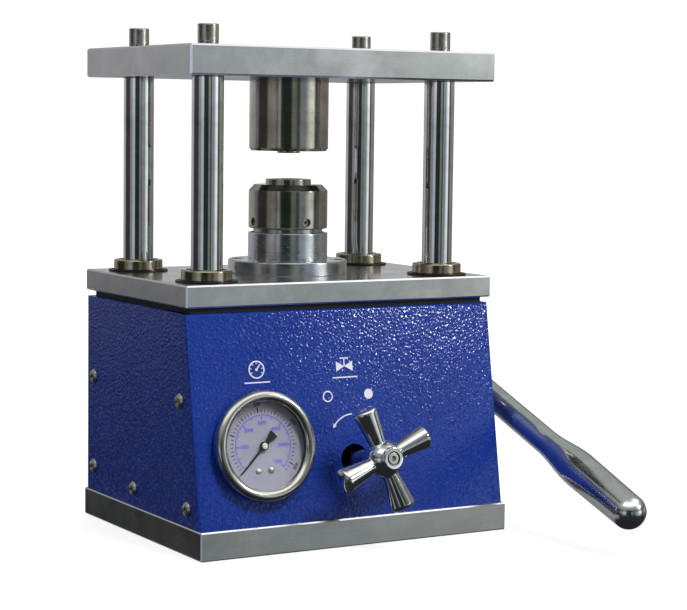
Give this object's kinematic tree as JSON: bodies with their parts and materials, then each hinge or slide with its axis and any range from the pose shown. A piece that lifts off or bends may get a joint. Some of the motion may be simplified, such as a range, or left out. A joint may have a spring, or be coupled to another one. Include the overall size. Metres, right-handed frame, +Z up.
{
  "type": "hand-pumped bench press",
  "caption": "Bench press: slope-fronted blue pump housing with gauge, cross-handle valve and side lever; ram and round dies in a column frame.",
  "frame": {"origin": "on the ram axis, on the underside of the base plate", "axes": "+Z up along the ram axis, +X towards the lever side, -Y towards the sloping front panel with the gauge and the valve"},
  "size_m": [0.2604, 0.2958, 0.3262],
  "materials": {
    "blue_paint": "textured powder coat, satin",
    "ground_steel": "ground and zinc plated",
    "machined_steel": "fine turned",
    "die_steel": "hardened, turned and polished",
    "chrome_plate": "polished hard chrome",
    "nickel_plate": "warm nickel plate",
    "zinc_steel": "zinc plated",
    "black_steel": "black oxide",
    "spring_steel": "oil tempered",
    "stainless": "polished stainless steel",
    "aluminium": "turned, bright",
    "block_iron": "machined iron",
    "brass": "machined brass",
    "black_rubber": "matt rubber",
    "black_plastic": "moulded, matt",
    "clear_window": "clear acrylic",
    "dial_white": "white enamel",
    "needle_black": "black enamel"
  },
  "bodies": {
    "press": {"base_plate": "ground_steel", "base_screws": "black_steel", "base_brackets": "zinc_steel", "front_cover": "blue_paint", "left_side_panel": "blue_paint", "right_side_panel": "blue_paint", "rear_panel": "blue_paint", "panel_screws": "zinc_steel", "table_gasket": "black_rubber", "table_plate": "ground_steel", "columns": "chrome_plate", "column_washers": "black_steel", "column_ring_nuts": "nickel_plate", "top_plate": "ground_steel", "cap_screws": "zinc_steel", "spring_washers": "zinc_steel", "upper_die": "die_steel", "upper_die_bolt": "black_steel", "ejector_spring": "spring_steel", "gland_flange": "aluminium", "gland_screws": "black_steel", "guide_collar": "aluminium", "wiper_seal": "black_rubber", "cylinder_barrel": "machined_steel", "return_spring": "spring_steel", "manifold_block": "block_iron", "oil_tank": "zinc_steel", "filler_plug": "black_plastic", "pump_barrel": "machined_steel", "pump_gland_nut": "brass", "outlet_check_plug": "brass", "shaft_pedestal": "block_iron", "shaft_bushes": "brass", "valve_gland_nut": "brass", "gauge_case": "stainless", "gauge_bezel": "stainless", "gauge_window": "clear_window", "gauge_dial": "dial_white", "movement_plates": "brass", "bourdon_tube": "brass"},
    "lever": {"cross_shaft": "machined_steel", "crank_arm": "block_iron", "lever_hub": "chrome_plate", "hub_screw": "zinc_steel", "lever": "chrome_plate"},
    "plunger": {"pump_plunger": "machined_steel"},
    "ram": {"ram": "chrome_plate", "piston_seal": "black_rubber", "lower_die": "die_steel", "die_core": "die_steel", "die_set_screws": "black_steel"},
    "inlet_ball": {"inlet_check_ball": "machined_steel"},
    "outlet_ball": {"outlet_check_ball": "machined_steel"},
    "valve_ball": {"valve_ball": "machined_steel"},
    "valve_spindle": {"valve_spindle": "machined_steel", "cross_handle": "chrome_plate", "handle_screw": "zinc_steel"},
    "sector": {"sector_gear": "brass"},
    "needle": {"gauge_needle": "needle_black"},
    "ejector": {"ejector_pin": "die_steel"}
  },
  "joints": [
    {"name": "lever_swing", "type": "hinge", "parent": "press", "child": "lever", "pos_m": [0.128, 0.022, 0.1112], "axis": [-1, 0, 0], "range_deg": [0, 50]},
    {"name": "plunger_slide", "type": "slide", "parent": "press", "child": "plunger", "axis": [0, 0, 1], "range_m": [0, 0.01864]},
    {"name": "ram_lift", "type": "slide", "parent": "press", "child": "ram", "axis": [0, 0, 1], "range_m": [0, 0.0165], "stiffness_N_per_m": 2000, "springref_m": -0.006, "deforming": ["return_spring"]},
    {"name": "inlet_ball_lift", "type": "slide", "parent": "press", "child": "inlet_ball", "axis": [0, 0, 1], "range_m": [0, 0.0014]},
    {"name": "outlet_ball_lift", "type": "slide", "parent": "press", "child": "outlet_ball", "axis": [0, 0, 1], "range_m": [0, 0.0015]},
    {"name": "valve_ball_lift", "type": "slide", "parent": "press", "child": "valve_ball", "axis": [0, -0.987, 0.1609], "range_m": [0, 0.0015]},
    {"name": "valve_turn", "type": "hinge", "parent": "valve_ball", "child": "valve_spindle", "pos_m": [0.0012, -0.08881, 0.05353], "axis": [0, -0.987, 0.1609], "range_deg": [0, 360]},
    {"name": "sector_turn", "type": "hinge", "parent": "press", "child": "sector", "pos_m": [-0.0647, -0.0894, 0.04988], "axis": [0, -0.987, 0.1609], "range_deg": [0, 45]},
    {"name": "needle_turn", "type": "hinge", "parent": "press", "child": "needle", "pos_m": [-0.0647, -0.0867, 0.06646], "axis": [0, 0.987, -0.1609], "range_deg": [0, 270]},
    {"name": "ejector_slide", "type": "slide", "parent": "press", "child": "ejector", "axis": [0, 0, 1], "range_m": [0, 0.0014], "stiffness_N_per_m": 500, "springref_m": -0.001, "deforming": ["ejector_spring"]}
  ],
  "couplings": [
    {"joint": "plunger_slide", "follows": "lever_swing", "m_per_rad": 0.021309},
    {"joint": "valve_ball_lift", "follows": "valve_turn", "m_per_rad": 0.00023873},
    {"joint": "needle_turn", "follows": "sector_turn", "ratio": 6}
  ]
}
